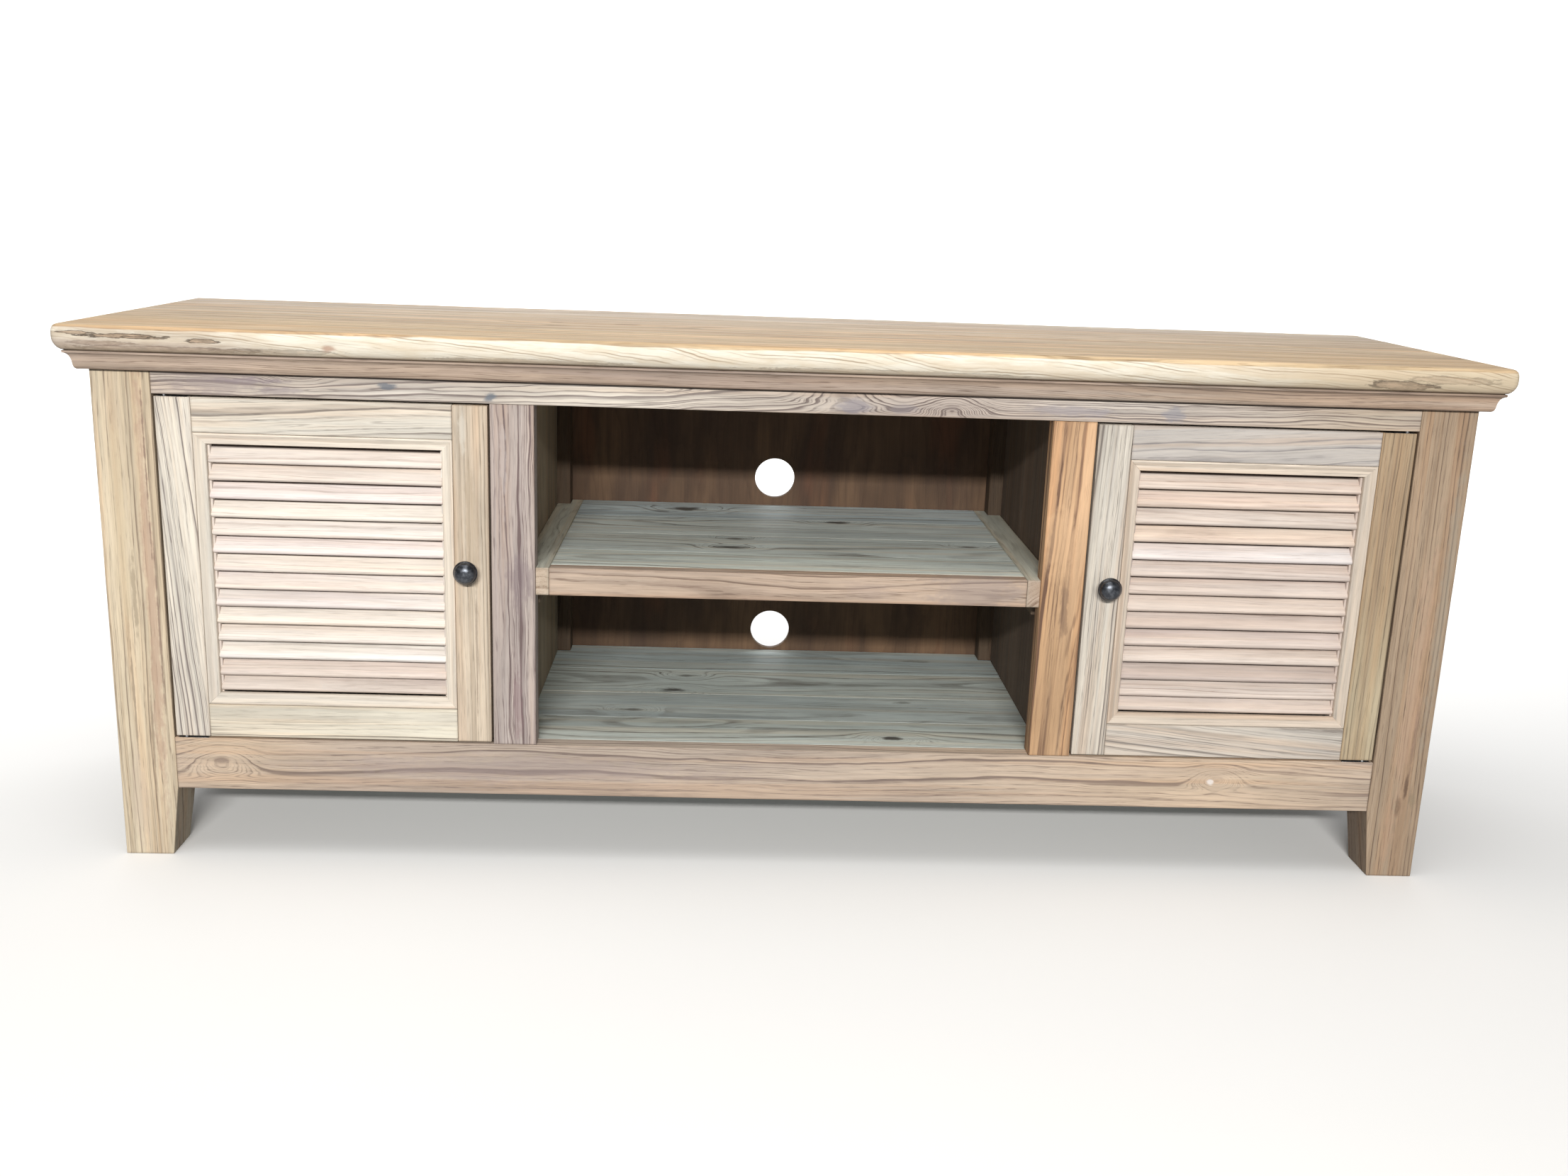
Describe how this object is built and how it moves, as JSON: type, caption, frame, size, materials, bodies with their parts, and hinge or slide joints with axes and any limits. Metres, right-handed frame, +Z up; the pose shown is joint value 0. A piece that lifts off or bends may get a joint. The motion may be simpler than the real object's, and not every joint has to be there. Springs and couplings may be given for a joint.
{
  "type": "tv stand with doors",
  "caption": "Low media cabinet in reclaimed elm: louvred hinged doors either side of an open shelved bay with cable holes, moulded overhanging top, tapered legs.",
  "frame": {"origin": "middle of the footprint of the whole cabinet, on the floor", "axes": "+Z up, +X along the length to the viewer's right, +Y towards the back"},
  "size_m": [1.6, 0.45, 0.62],
  "materials": {
    "top": "matte limed reclaimed elm, warm tan",
    "cornice": "matte limed elm, pinkish tan",
    "leg": "matte limed elm, warm beige",
    "rail": "matte limed elm, cream grey",
    "apron": "matte limed elm, tan with mauve streaks",
    "stile_left": "matte limed elm, mauve brown",
    "stile_right": "matte limed elm, orange brown",
    "door_frame": "matte limed elm, pale",
    "bead": "matte limed elm, pale cream",
    "louvre": "matte limed elm, pale pink cream",
    "side": "matte limed elm",
    "shelf": "matte grey washed planks",
    "interior": "unfinished elm, brown",
    "back": "dark red brown plywood",
    "knob": "dark pewter, satin",
    "hinge": "zinc plated steel",
    "screw": "zinc plated steel",
    "catch": "black"
  },
  "bodies": {
    "cabinet": {"top_board": "top", "cornice_front": "cornice", "cornice_left": "cornice", "cornice_right": "cornice", "leg_front_left": "leg", "leg_front_right": "leg", "leg_rear_left": "leg", "leg_rear_right": "leg", "front_top_rail": "rail", "front_bottom_rail": "apron", "centre_stile_left": "stile_left", "centre_stile_right": "stile_right", "side_top_rail_left": "side", "side_bottom_rail_left": "side", "side_panel_left": "side", "partition_left": "interior", "back_post_left": "interior", "shelf_cleat_left": "interior", "shelf_end_left": "shelf", "door_catch_left": "catch", "hinge_left_upper_cabinet_leaf": "hinge", "hinge_left_lower_cabinet_leaf": "hinge", "side_top_rail_right": "side", "side_bottom_rail_right": "side", "side_panel_right": "side", "partition_right": "interior", "back_post_right": "interior", "shelf_cleat_right": "interior", "shelf_end_right": "shelf", "door_catch_right": "catch", "hinge_right_upper_cabinet_leaf": "hinge", "hinge_right_lower_cabinet_leaf": "hinge", "back_top_rail": "interior", "back_bottom_rail": "interior", "bottom_board": "shelf", "shelf_board": "shelf", "back_panel": "back"},
    "left_door": {"door_left_hinge_stile": "door_frame", "door_left_latch_stile": "door_frame", "door_left_top_rail": "door_frame", "door_left_bottom_rail": "door_frame", "door_left_bead": "bead", "door_left_louvre": "louvre", "door_left_knob": "knob", "door_left_knob_screw": "screw", "door_left_strike": "screw", "door_left_hinge_leaf_upper": "hinge", "door_left_hinge_leaf_lower": "hinge"},
    "right_door": {"door_right_hinge_stile": "door_frame", "door_right_latch_stile": "door_frame", "door_right_top_rail": "door_frame", "door_right_bottom_rail": "door_frame", "door_right_bead": "bead", "door_right_louvre": "louvre", "door_right_knob": "knob", "door_right_knob_screw": "screw", "door_right_strike": "screw", "door_right_hinge_leaf_upper": "hinge", "door_right_hinge_leaf_lower": "hinge"}
  },
  "joints": [
    {"name": "left_door_hinge", "type": "hinge", "parent": "cabinet", "child": "left_door", "pos_m": [-0.6945, -0.192, 0.34575], "axis": [0, 0, -1], "range_deg": [0, 110]},
    {"name": "right_door_hinge", "type": "hinge", "parent": "cabinet", "child": "right_door", "pos_m": [0.6945, -0.192, 0.34575], "axis": [0, 0, 1], "range_deg": [0, 110]}
  ]
}
